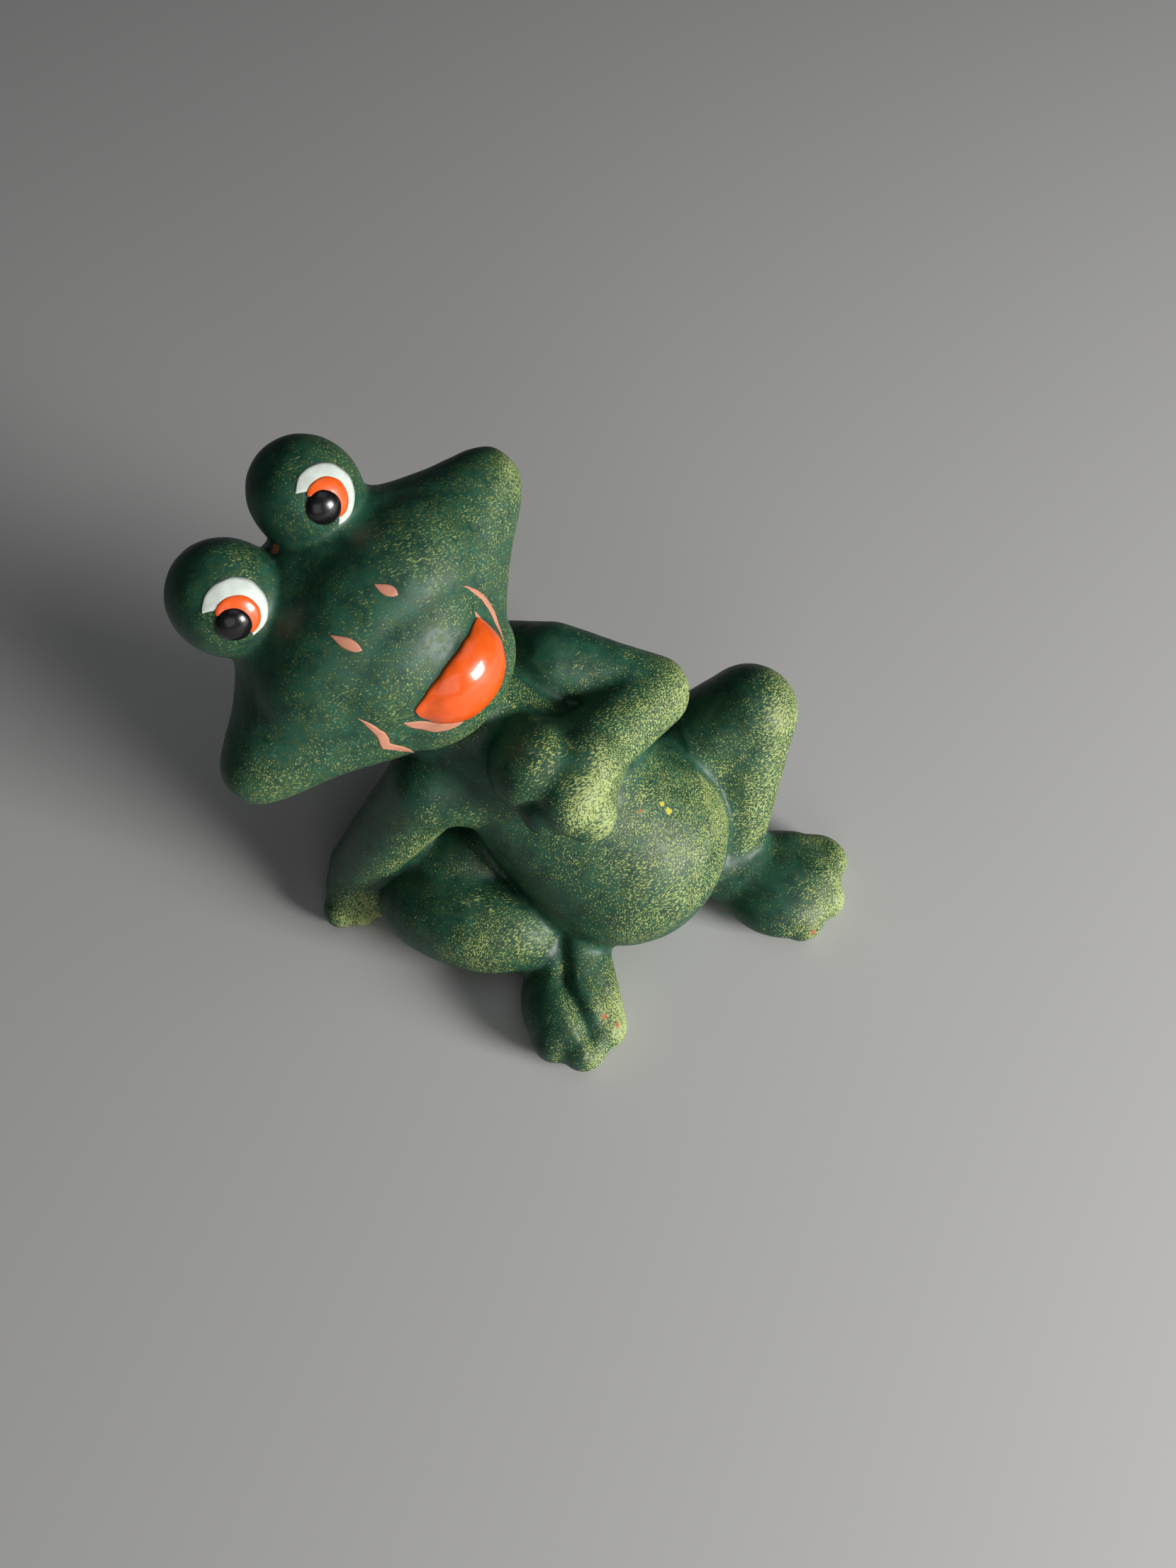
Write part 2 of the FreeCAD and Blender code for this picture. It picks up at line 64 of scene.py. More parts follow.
def mapped(value, low, high):
    # 0 at low, 1 at high, with soft ends
    t = np.clip((value - low) / (high - low), 0.0, 1.0)
    return t * t * (3.0 - 2.0 * t)


def middleOf(node):
    low, high = (Vector(corner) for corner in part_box(node))
    return (low + high) / 2


def spotIn(node, share):
    # a place inside a node's box, each share from 0 to 1
    low, high = (Vector(corner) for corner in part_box(node))
    return Vector(a + (b - a) * s for a, b, s in zip(low, high, share))


def readVerts(form):
    places = np.array([v.co[:] for v in form.verts])
    normals = np.array([v.normal[:] for v in form.verts])
    return places, normals


def placeVerts(form, places):
    for v, place in zip(form.verts, places.tolist()):
        v.co = place
    form.normal_update()


# the head has its own frame: x to the frog's left, y backwards, z to the crown

head = {
    "offset": (0.04, 1.02, 0.09),  # from the middle of the head's box to the middle of its frame
    "turn": 12.5,
    "tilt": -22.5,
    "nod": -50.0,
}
headTurn = (
    Matrix.Rotation(math.radians(head["turn"]), 4, "Z")
    @ Matrix.Rotation(math.radians(head["tilt"]), 4, "Y")
    @ Matrix.Rotation(math.radians(head["nod"]), 4, "X")
)
headFrame = Matrix.Translation(middleOf("head") + Vector(head["offset"]) * mm) @ headTurn


# the clay: every clay node, swollen a little so that neighbours run together, then remeshed as one skin

clay = {
    "nodes": ["torso", "head", "tongue", "left_eyeball", "right_eyeball", "left_arm", "right_arm",
              "left_leg", "right_leg", "left_foot", "right_foot"],
    "weld": 0.003,          # mm, points closer than this are one
    "swell": 0.12,          # mm that each node grows by before they run together
    "grain": 0.3,           # mm between points of the skin
    "firstRounds": 3,       # rounds of smoothing that take the steps out of the skin
    "fineFill": 40,         # rounds that give the narrow fillet in every joint
    "broadFill": 260,       # rounds that give the broad fillets
    "broadAmount": {"head": 1.0, "tongue": 0.3, "left_arm": 0.62, "right_arm": 0.8, "torso": 0.55,
                    "left_leg": 0.5, "right_leg": 0.35, "left_foot": 1.0, "right_foot": 0.7,
                    "left_eyeball": 0.35, "right_eyeball": 0.35},
    "borderRounds": 12,     # rounds that blend one node's amount into the next
    "mouthRounds": 30,      # how far round the tongue the fold stays crisp
    "mouthEdge": (0.02, 0.25),
    "mouthHold": 0.85,      # share of the fill that the fold refuses
    "worn": 0.35,           # share of the smoothing that outer edges take
    "riseRounds": 6,
    "lastRounds": 2,
    "slowSize": 6.5,        # mm, size of the slow unevenness of a hand-finished casting
    "slowDepth": 0.14,
    "quickSize": 1.3,       # mm, size of the quick one
    "quickDepth": 0.035,
    "ownerRounds": 10,      # rounds that smooth the borders between nodes
    "wall": 0.7,            # mm that each piece reaches inwards at its border
    # eggs that make a node fuller: middle and half widths, mm in the head's frame
    "eggs": {"head": ((0.1, -2.5, 0.9), (13.6, 8.1, 7.9)), "tongue": ((1.5, -5.6, -7.2), (5.3, 4.4, 4.5))},
    # balls that make a node fuller: share of its box, and radius in mm
    "balls": {
        "left_arm": [
            ((0.14, 0.326, 0.748), 4.6),    # knuckles under the chin
            ((0.09, 0.19, 0.60), 2.5),      # small finger
            ((0.198, 0.18, 0.683), 4.1),    # thumb side
            ((0.22, 0.23, 0.68), 4.0),      # palm
            ((0.298, 0.238, 0.715), 4.1),   # heel of the hand
        ],
        "torso": [((0.184, 0.85, 0.884), 5.8)],  # nape of the neck
    },
}


def nodeForm(node):
    form = bmesh.new()
    form.from_mesh(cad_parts[node].data)
    bmesh.ops.remove_doubles(form, verts=form.verts, dist=clay["weld"] * mm)
    form.normal_update()
    return form


def ownerTree():
    # one tree over every clay node's faces, and the node that each face belongs to
    places, faces, owners = [], [], []
    for index, node in enumerate(clay["nodes"]):
        form = nodeForm(node)
        start = len(places)
        places += [v.co.copy() for v in form.verts]
        faces += [[start + v.index for v in f.verts] for f in form.faces]
        owners += [index] * len(form.faces)
        form.free()
    return BVHTree.FromPolygons(places, faces), owners


def closeHollow(form):
    # the hull of the form in place of the form
    bmesh.ops.delete(form, geom=list(form.edges) + list(form.faces), context="EDGES_FACES")
    hull = bmesh.ops.convex_hull(form, input=form.verts)
    unused = hull["geom_interior"] + hull["geom_unused"]
    inside = {g for g in unused if isinstance(g, bmesh.types.BMVert)}
    bmesh.ops.delete(form, geom=list(inside), context="VERTS")
    bmesh.ops.recalc_face_normals(form, faces=form.faces)


def addFuller(form, node):
    # the node's own egg and balls
    if node in clay["eggs"]:
        middle, half = clay["eggs"][node]
        size = Matrix.Diagonal((*(Vector(half) * mm), 1))
        place = headFrame @ Matrix.Translation(Vector(middle) * mm) @ size
        bmesh.ops.create_icosphere(form, subdivisions=5, radius=1.0, matrix=place)
    for share, radius in clay["balls"].get(node, []):
        place = Matrix.Translation(spotIn(node, share))
        bmesh.ops.create_icosphere(form, subdivisions=5, radius=radius * mm, matrix=place)


def roughClay():
    whole = bmesh.new()
    for node in clay["nodes"]:
        form = nodeForm(node)
        if node == "torso":
            closeHollow(form)  # and fills the throat
        form.normal_update()
        for v in form.verts:
            v.co += v.normal * clay["swell"] * mm
        addFuller(form, node)
        part = bpy.data.meshes.new(node)
        form.to_mesh(part)
        form.free()
        whole.from_mesh(part)
        bpy.data.meshes.remove(part)
    return whole


def voxelSkin(form):
    # one even skin round everything in the form, without the bubbles inside it
    rough = collect(form, "roughClay")
    remesh = rough.modifiers.new("skin", "REMESH")
    remesh.mode = "VOXEL"
    remesh.voxel_size = clay["grain"] * mm
    remesh.use_smooth_shade = True
    skin = bpy.data.meshes.new_from_object(rough.evaluated_get(bpy.context.evaluated_depsgraph_get()))
    bpy.data.objects.remove(rough)
    form = bmesh.new()
    form.from_mesh(skin)
    bpy.data.meshes.remove(skin)
    seen = {max(form.verts, key=lambda v: v.co.z)}  # the highest point is on the outside
    front = list(seen)
    while front:
        v = front.pop()
        for e in v.link_edges:
            other = e.other_vert(v)
            if other not in seen:
                seen.add(other)
                front.append(other)
    bmesh.ops.delete(form, geom=[v for v in form.verts if v not in seen], context="VERTS")
    form.verts.index_update()
    form.normal_update()
    return form


def relax(form, rounds):
    for _ in range(rounds):
        bmesh.ops.smooth_vert(form, verts=form.verts, factor=0.5,
                              use_axis_x=True, use_axis_y=True, use_axis_z=True)


def alongNormals(shift, normals):
    # how far each point has moved along its own normal
    return np.einsum("ij,ij->i", shift, normals)


form = voxelSkin(roughClay())
print("clay remeshed:", len(form.verts), "points")
tree, owners = ownerTree()
nodeOf = np.array([owners[tree.find_nearest(v.co)[2]] for v in form.verts])
edgeEnds = np.array([[v.index for v in e.verts] for e in form.edges])
relax(form, clay["firstRounds"])
form.normal_update()
start, outward = readVerts(form)
relax(form, clay["fineFill"])
fine, _ = readVerts(form)
relax(form, clay["broadFill"] - clay["fineFill"])
broad, _ = readVerts(form)


def spread(values, rounds):
    # values averaged along the edges of the skin
    count = np.bincount(edgeEnds.ravel(), minlength=len(values)).astype(float)
    for _ in range(rounds):
        total = (np.bincount(edgeEnds[:, 0], values[edgeEnds[:, 1]], len(values))
                 + np.bincount(edgeEnds[:, 1], values[edgeEnds[:, 0]], len(values)))
        values = 0.5 * values + 0.5 * total / count
    return values


amounts = np.array([clay["broadAmount"][node] for node in clay["nodes"]])
broadAmount = spread(amounts[nodeOf], clay["borderRounds"])
mouth = spread((nodeOf == clay["nodes"].index("tongue")).astype(float), clay["mouthRounds"])
mouth = mapped(mouth, *clay["mouthEdge"])  # the fold between lip and tongue stays crisp
fineRise = alongNormals(fine - start, outward)
broadRise = alongNormals(broad - start, outward)
rise = np.maximum(fineRise, broadAmount * np.maximum(broadRise, 0.0))
rise = np.where(rise < 0, rise * clay["worn"], rise) * (1 - clay["mouthHold"] * mouth)
rise = spread(rise, clay["riseRounds"])
places = start + outward * rise[:, None]
bulge = -broadRise / mm  # above 0 where the form stands out, below 0 in its hollows
print("joints filled, rise", round(float(rise.max()) / mm, 2), "mm at most")

placeVerts(form, places)

# skinned again, which seals the joints where both sides have met
before = KDTree(len(places))
for i, place in enumerate(places):
    before.insert(place, i)
before.balance()
form = voxelSkin(form)
relax(form, clay["lastRounds"])
form.normal_update()
places, outward = readVerts(form)
source = np.array([before.find(place)[1] for place in places])
nodeOf, fineRise, bulge = nodeOf[source], fineRise[source], bulge[source]
edgeEnds = np.array([[v.index for v in e.verts] for e in form.edges])
print("clay skinned again:", len(places), "points")
skinTree = BVHTree.FromBMesh(form)
elsewhere = Vector((31.0, 7.0, 3.0))  # so that the two kinds of unevenness don't line up
for i, place in enumerate(places):
    slow = noise.noise(Vector(place) / (clay["slowSize"] * mm))
    quick = noise.noise(Vector(place) / (clay["quickSize"] * mm) + elsewhere)
    places[i] = place + outward[i] * (slow * clay["slowDepth"] + quick * clay["quickDepth"]) * mm


def nearLine(places, points):
    # distance of every place from a line of points, and how far along it the nearest spot is, 0 to 1
    best, along = np.full(len(places), 1.0), np.zeros(len(places))
    spans = list(zip(points, points[1:]))
    for k, (a, b) in enumerate(spans):
        a, b = np.array(a), np.array(b)
        t = np.clip((places - a) @ (b - a) / max((b - a) @ (b - a), 1e-12), 0, 1)  # a dot has no length
        gap = np.linalg.norm(places - (a + t[:, None] * (b - a)), axis=1)
        nearer = gap < best
        best[nearer], along[nearer] = gap[nearer], (k + t[nearer]) / len(spans)
    return best, along


markEnds = (0.08, 0.92)  # where on a half wave the depth of a mark starts and stops
# marks of the tool: node, shares of its box that the line runs through, width and depth in mm
tooled = {
    "ridges": [  # below 0 is raised
        ("left_foot", ((0.72, 0.62, 0.70), (0.9, 0.6, 0.5), (1.0, 0.55, 0.3)), 1.6, -0.55),
        ("left_foot", ((0.62, 0.36, 0.70), (0.8, 0.28, 0.5), (0.9, 0.22, 0.3)), 1.5, -0.4),
    ],
    "grooves": [
        ("left_foot", ((0.80, 0.62, 0.66), (0.9, 0.6, 0.5), (1.0, 0.55, 0.3)), 0.4, 0.35),
        ("left_foot", ((0.68, 0.34, 0.66), (0.8, 0.28, 0.5), (0.9, 0.22, 0.3)), 0.4, 0.35),
        ("right_foot", ((0.62, 0.8, 0.95), (0.45, 0.55, 0.9), (0.42, 0.32, 0.8), (0.36, 0.1, 0.5)), 0.9, 1.1),
        ("right_foot", ((0.66, 0.5, 0.8), (0.72, 0.25, 0.7), (0.72, 0.05, 0.4)), 0.5, 0.4),
        ("left_arm", ((-0.02, 0.24, 0.7), (0.03, 0.21, 0.78), (0.09, 0.18, 0.8)), 0.5, 0.8),
    ],
    "scratches": [("left_arm", ((0.473, 0.839, 0.854), (0.41, 0.711, 0.91)), 0.3, 0.25)],
    "pinholes": [
        ("left_arm", ((0.498, 0.505, 0.618), (0.498, 0.505, 0.618)), 0.35, 1.0),
        ("left_arm", ((0.455, 0.534, 0.615), (0.455, 0.534, 0.615)), 0.35, 0.8),
    ],
    "slip": [  # the bead that was left where the left leg meets the belly
        ("torso", ((0.942, 0.47, 0.577), (0.872, 0.28, 0.536), (0.799, 0.137, 0.5), (0.669, 0.04, 0.445)),
         0.4, -0.25),
    ],
}
for node, shares, width, depth in (mark for kind in tooled.values() for mark in kind):
    points = [skinTree.find_nearest(spotIn(node, share))[0] for share in shares]
    gap, along = nearLine(places, points)
    halfWave = np.pi * (markEnds[0] + (markEnds[1] - markEnds[0]) * along)
    taper = np.sqrt(np.clip(np.sin(halfWave), 0, 1))
    places -= outward * (np.exp(-(gap / (width * mm)) ** 2) * taper * depth * mm)[:, None]
placeVerts(form, places)
relax(form, clay["lastRounds"])

# flat where it rests: nothing goes under the floor
for v in form.verts:
    v.co.z = max(v.co.z, 0.0)
form.normal_update()
places, outward = readVerts(form)

# which node each point of the skin belongs to, with smooth borders
pieceNodes = [node for node in clay["nodes"] if node != "tongue"]
toPiece = np.array([pieceNodes.index("head" if node == "tongue" else node) for node in clay["nodes"]])
pieceOf = toPiece[nodeOf]
belonging = [spread((pieceOf == k).astype(float), clay["ownerRounds"]) for k in range(len(pieceNodes))]
owner = np.array(belonging).argmax(axis=0)

# where the sponge left its speckle: most on rounded places that face forwards and to the frog's left. That is
# the side the key light falls on, so the heaped pale speckle there is partly painted light, and its lack on
# the far side partly painted shade
sponge = {
    "towards": (0.62, -0.72, 0.12),
    "amount": {"torso": 0.54, "head": 0.4, "tongue": 0.4, "left_eyeball": 0.18, "right_eyeball": 0.22,
               "left_arm": 0.54, "right_arm": 0.56, "left_leg": 0.54, "right_leg": 0.5, "left_foot": 0.52,
               "right_foot": 0.5},
    "least": 0.12,             # share of the amount on places that face away
    "front": 1.1,              # share that is added on places that face the lit side, as painted light
    "frontFrom": (-0.5, 0.85),
    "crease": (0.015, 0.09),   # mm of fill in a joint, from full speckle to none
    "creaseHold": 0.92,
    "ridge": (0.1, 0.9),       # mm that a place stands out, for the extra speckle on edges; kept to edges that face the lit side, it is partly a painted highlight
    "ridgeAmount": 0.35,
    "ridgeFrom": (-0.2, 0.8),
    "touchEdge": (0.45, 1.15),  # share of a touch's reach over which it fades
    "most": 1.2,
    "amountRounds": 14,        # rounds that blend each of these over the skin
    "creaseRounds": 8,
    "coverRounds": 3,
    "softRounds": 25,
    "soft": ["head", "tongue", "left_eyeball", "right_eyeball"],  # thinner speckle and more dark film here, partly the paint's own look and partly painted shade on the face
    # where it went on thicker or missed, and where added speckle paints light on lit parts and removed
    # speckle paints shade on shaded ones: node, share of its box, reach in mm, change
    "touchesAndLight": [
        ("left_arm", (0.62, 0.75, 0.95), 7.5, -0.8), ("left_arm", (0.85, 0.55, 1.0), 4.5, -0.4),
        ("left_arm", (0.22, 0.08, 0.85), 4.2, 0.3), ("left_arm", (0.25, 0.3, 1.0), 3.5, 0.05),
        ("left_leg", (0.55, 0.95, 0.95), 7.0, -0.9), ("left_leg", (0.0, 0.6, 0.6), 6.0, -0.6),
        ("left_foot", (0.3, 0.4, 0.9), 4.6, -0.85), ("left_foot", (0.5, 0.9, 0.7), 4.0, -0.6),
        ("left_foot", (0.95, 0.6, 0.5), 3.0, 0.3), ("left_foot", (0.8, 0.1, 0.5), 2.6, 0.3),
        ("right_foot", (0.9, 0.1, 0.7), 3.6, 0.35), ("right_foot", (0.1, 0.7, 0.8), 5.0, -0.5),
        ("right_leg", (0.75, 0.75, 1.0), 6.5, -0.8), ("right_leg", (0.3, 0.2, 0.5), 5.0, 0.35),
        ("right_arm", (0.15, 0.55, 0.12), 4.5, 0.4),
        ("torso", (0.1, 0.9, 0.95), 7.5, -0.75), ("torso", (0.137, 0.68, 0.746), 5.5, -0.85),
        ("torso", (0.62, 0.0, 0.15), 7.0, -0.7),
        ("torso", (1.0, 0.45, 0.4), 3.5, -0.5), ("torso", (0.95, 0.2, 0.45), 6.0, 0.25),
        ("head", (0.0, 0.1, 0.35), 5.0, 0.15), ("head", (1.0, 0.6, 0.9), 3.5, 0.2),
        ("head", (0.3, 0.95, 0.8), 6.0, -0.5), ("head", (0.435, 0.32, 0.87), 7.0, -0.45),
    ],
}


def gapFrom(node, share):
    # mm from every point of the skin to the spot on it nearest to a share of the node's box
    spot = np.array(skinTree.find_nearest(spotIn(node, share))[0])
    return np.linalg.norm(places - spot, axis=1) / mm


def spongeCoverAndLight():
    # pale speckle heaped on places that face the lit side is painted light, and little speckle on the far
    # side is painted shade
    facing = outward @ (np.array(sponge["towards"]) / np.linalg.norm(sponge["towards"]))
    amounts = np.array([sponge["amount"][node] for node in clay["nodes"]])
    amounts = spread(amounts[nodeOf], sponge["amountRounds"])
    crease = mapped(spread(np.maximum(fineRise / mm, 0), sponge["creaseRounds"]), *sponge["crease"])
    ridge = mapped(spread(bulge, sponge["creaseRounds"]), *sponge["ridge"])
    speckleAndLight = amounts * (sponge["least"] + sponge["front"] * mapped(facing, *sponge["frontFrom"]))
    speckleAndLight += sponge["ridgeAmount"] * ridge * mapped(facing, *sponge["ridgeFrom"])
    speckleAndLight = np.clip(speckleAndLight, 0, sponge["most"]) * (1 - sponge["creaseHold"] * crease)
    for node, share, reach, change in sponge["touchesAndLight"]:
        near = 1 - mapped(gapFrom(node, share) / reach, *sponge["touchEdge"])
        touched = speckleAndLight * (1 + min(change, 0)) + max(change, 0)
        speckleAndLight = speckleAndLight * (1 - near) + touched * near
    return spread(speckleAndLight, sponge["coverRounds"])


speckleAndLight = spongeCoverAndLight()
softNodes = [clay["nodes"].index(node) for node in sponge["soft"]]
soft = spread(np.isin(nodeOf, softNodes).astype(float), sponge["softRounds"])
print("speckleAndLight", [round(float(np.percentile(speckleAndLight, p)), 2) for p in (5, 25, 50, 75, 95)])


def markAround(spots):
    # how near each point is to the closest of the spots: 1 on it, 0 away from it
    amount = np.zeros(len(places))
    for node, share, reach in spots:
        amount = np.maximum(amount, np.clip(1.5 - gapFrom(node, share) / reach, 0, 1))
    return amount


# small marks of wear and paint: node, share of its box, radius in mm
wear = {
    "chips": [("head", (0.373, 0.769, 0.905), 0.55), ("left_foot", (0.43, 0.03, 0.45), 0.45),
              ("right_foot", (0.57, 0.22, 0.69), 0.4), ("right_foot", (0.63, 0.13, 0.6), 0.35),
              ("torso", (0.568, 0.272, 0.64), 0.3)],
    "yellow": [("torso", (0.669, 0.229, 0.61), 0.5), ("torso", (0.665, 0.245, 0.64), 0.4),
               ("torso", (0.326, 0.662, 0.883), 0.3)],
}

# the sponge attribute carries the speckle cover with its painted light and shade
onSkin = {"sponge": speckleAndLight, "soft": soft, **{kind: markAround(spots) for kind, spots in wear.items()}}
for name, values in onSkin.items():
    layer = form.verts.layers.float.new(name)
    for v, value in zip(form.verts, values.tolist()):
        v[layer] = value
outLayer = form.verts.layers.float_vector.new("out")
for v, normal in zip(form.verts, outward.tolist()):
    v[outLayer] = normal
skinTree = BVHTree.FromBMesh(form)


def faceOwner(face):
    # the node that most of the face's points belong to
    nodes = [owner[v.index] for v in face.verts]
    return max(set(nodes), key=nodes.count)


def claySurface(form, index):
    # the part of the skin that belongs to one node, closed towards the inside
    piece = form.copy()
    outLayer = piece.verts.layers.float_vector["out"]
    stray = [f for f in piece.faces if faceOwner(f) != index]
    bmesh.ops.delete(piece, geom=stray, context="FACES")
    rim = [e for e in piece.edges if e.is_boundary]
    wall = bmesh.ops.extrude_edge_only(piece, edges=rim)
    for v in (g for g in wall["geom"] if isinstance(g, bmesh.types.BMVert)):
        v.co -= Vector(v[outLayer]) * clay["wall"] * mm
    rim = [e for e in piece.edges if e.is_boundary]
    lids = bmesh.ops.holes_fill(piece, edges=rim, sides=0)["faces"]
    bmesh.ops.poke(piece, faces=lids)
    bmesh.ops.triangulate(piece, faces=piece.faces)
    bmesh.ops.recalc_face_normals(piece, faces=piece.faces)
    return piece


def setSkinNormals(piece):
    # neighbours share the skin's own normals, so that no seam shows between them
    mesh = piece.data
    normals = np.zeros(len(mesh.vertices) * 3)
    mesh.attributes["out"].data.foreach_get("vector", normals)
    mesh.normals_split_custom_set_from_vertices(normals.reshape(-1, 3).tolist())


clayPieces = []
for index, node in enumerate(pieceNodes):
    surface = claySurface(form, index)
    loose = sum(not e.is_manifold for e in surface.edges)
    piece = collect(surface, "clay_" + node)
    setSkinNormals(piece)
    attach(piece, "root")
    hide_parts(node)
    clayPieces.append(piece)
    print("clay", node, len(piece.data.polygons), "faces,", loose, "open edges")


# paint: patches between two arcs that share their ends, laid on the clay

brush = {
    "least": 0.02,      # mm, the flattest bow that is still an arc
    "castFrom": 4,      # mm above its place that each point is cast down from
    "castReach": 9,
    "lift": 0.015,      # mm that the thin edge of the paint stands off the clay
    "backing": 0.2,     # mm that the paint reaches into the clay
    "unevenness": 0.9,  # waves per mm of its outline
    "weld": 0.002,
    "seed": 12,         # the unevenness is the same in every run
}
noise.seed_set(brush["seed"])


def arcChain(sheet, half, bow, steps):
    # edges of an arc over the chord from -half to half along x
    taken = set(sheet.edges)
    if abs(bow) < brush["least"]:
        bow = brush["least"]
    side = 1 if bow > 0 else -1
    radius = (half * half + bow * bow) / (2 * abs(bow))
    centre = Vector((0, bow - side * radius, 0))
    tip = sheet.verts.new((-half, 0, 0))
    sweep = 2 * math.atan2(half, -side * centre.y)
    bmesh.ops.spin(sheet, geom=[tip], cent=centre, axis=(0, 0, -side), dvec=(0, 0, 0),
                   angle=sweep, steps=steps, use_duplicate=False)
    return [e for e in sheet.edges if e not in taken]


def flatPatch(spot, half):
    # the patch as a flat sheet of quads, its chord along x
    sheet = bmesh.new()
    chains = [arcChain(sheet, half, bow, spot.get("steps", 32)) for bow in spot["bows"]]
    bmesh.ops.bridge_loops(sheet, edges=chains[0] + chains[1])
    outer = {v for e in chains[0] for v in e.verts}
    rungs = [e for e in sheet.edges if (e.verts[0] in outer) != (e.verts[1] in outer)]
    bmesh.ops.subdivide_edges(sheet, edges=rungs, cuts=spot.get("cuts", 7), use_grid_fill=True)
    bmesh.ops.remove_doubles(sheet, verts=sheet.verts, dist=brush["weld"])
    return sheet


def strokeShape(spot, x, y, half):
    # a point of the even patch, moved for a stroke that leans or has an elbow
    y *= 1 + spot.get("lean", 0.0) * x / half
    if "elbow" in spot:
        at, height = spot["elbow"]
        bend = (x / half + 1) / (at + 1) if x / half < at else (1 - x / half) / (1 - at)
        y += height * (bend - 1 + (x / half) ** 2)
    return y


def paintPatch(name, spot):
    # spot: tips and facing in the head's frame, the two bows, thickness and width of the rounded edge; all mm
    first, last = (Vector(tip) for tip in spot["tips"])
    facing = Vector(spot["facing"]).normalized()
    cast = Vector(spot.get("cast", facing)).normalized()
    line = last - first
    line -= facing * line.dot(facing)
    half, along = line.length / 2, line.normalized()
    bowSide = facing.cross(along) * spot.get("side", 1)
    sheet = flatPatch(spot, half)
    border = np.array([v.co[:] for v in sheet.verts if v.is_boundary])
    toRow = headFrame.to_3x3()
    seed = Vector((len(name), half, spot["thick"]))
    for v in sheet.verts:
        inset = float(np.linalg.norm(border - np.array(v.co[:]), axis=1).min()) / spot["edge"]
        x, y = v.co.x, strokeShape(spot, v.co.x, v.co.y, half)
        wave = noise.noise_vector(Vector((x, y, 0)) * brush["unevenness"] + seed) * spot["wobble"]
        place = (first + last) / 2 + along * (x + wave.x) + bowSide * (y + wave.y)
        origin = headFrame @ ((place + cast * brush["castFrom"]) * mm)
        hit, normal, _, _ = skinTree.ray_cast(origin, -(toRow @ cast), brush["castReach"] * mm)
        if hit is None:
            hit, normal, _, _ = skinTree.find_nearest(headFrame @ (place * mm))
        rounded = math.sqrt(max(1 - (1 - min(inset, 1.0)) ** 2, 0))
        v.co = hit + normal * (brush["lift"] + spot["thick"] * rounded) * mm
    sheet.normal_update()
    if sum(f.normal.dot(toRow @ facing) for f in sheet.faces) < 0:
        bmesh.ops.reverse_faces(sheet, faces=sheet.faces)
    bmesh.ops.solidify(sheet, geom=sheet.faces, thickness=brush["backing"] * mm)
    bmesh.ops.recalc_face_normals(sheet, faces=sheet.faces)
    piece = collect(sheet, "paint_" + name)
    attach(piece, "root")
    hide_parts(name)
    return piece


# each eye: middle, where it looks, and the outlines of its layers around that spot
eyes = {
    "left": {"middle": (5.5, -2.8, 12.05), "radius": 5.0, "yaw": 7.0, "pitch": 16.0,
             "pupil": (-0.68, -0.45), "whiteTurn": 6.0, "chord": (-1.2, -0.3), "whiteHalf": 2.3},
    "right": {"middle": (-5.85, -2.8, 11.8), "radius": 5.15, "yaw": -4.0, "pitch": 11.0,
              "pupil": (-0.92, -0.8), "whiteTurn": 12.0, "chord": (-1.33, -0.55), "whiteHalf": 2.25},
    "whiteBows": (4.2, 1.2),
    "irisTurn": 9.0,
    "irisHalf": 1.72,
    "irisBows": (2.75, -0.2),
    "pupilRadius": 1.52,
}


def eyeTips(eye, middle, turn, half):
    # the two ends of a chord on the eye's front, and the way the eye looks
    yaw = Matrix.Rotation(math.radians(eye["yaw"]), 3, "Z")
    look = yaw @ Matrix.Rotation(math.radians(eye["pitch"]), 3, "X")
    turn = math.radians(turn)
    ends = []
    for s in (-1, 1):
        end = (middle[0] - s * half * math.sin(turn), -eye["radius"], middle[1] + s * half * math.cos(turn))
        ends.append(Vector(eye["middle"]) + look @ Vector(end))
    return {"tips": ends, "facing": look @ Vector((0, -1, 0))}


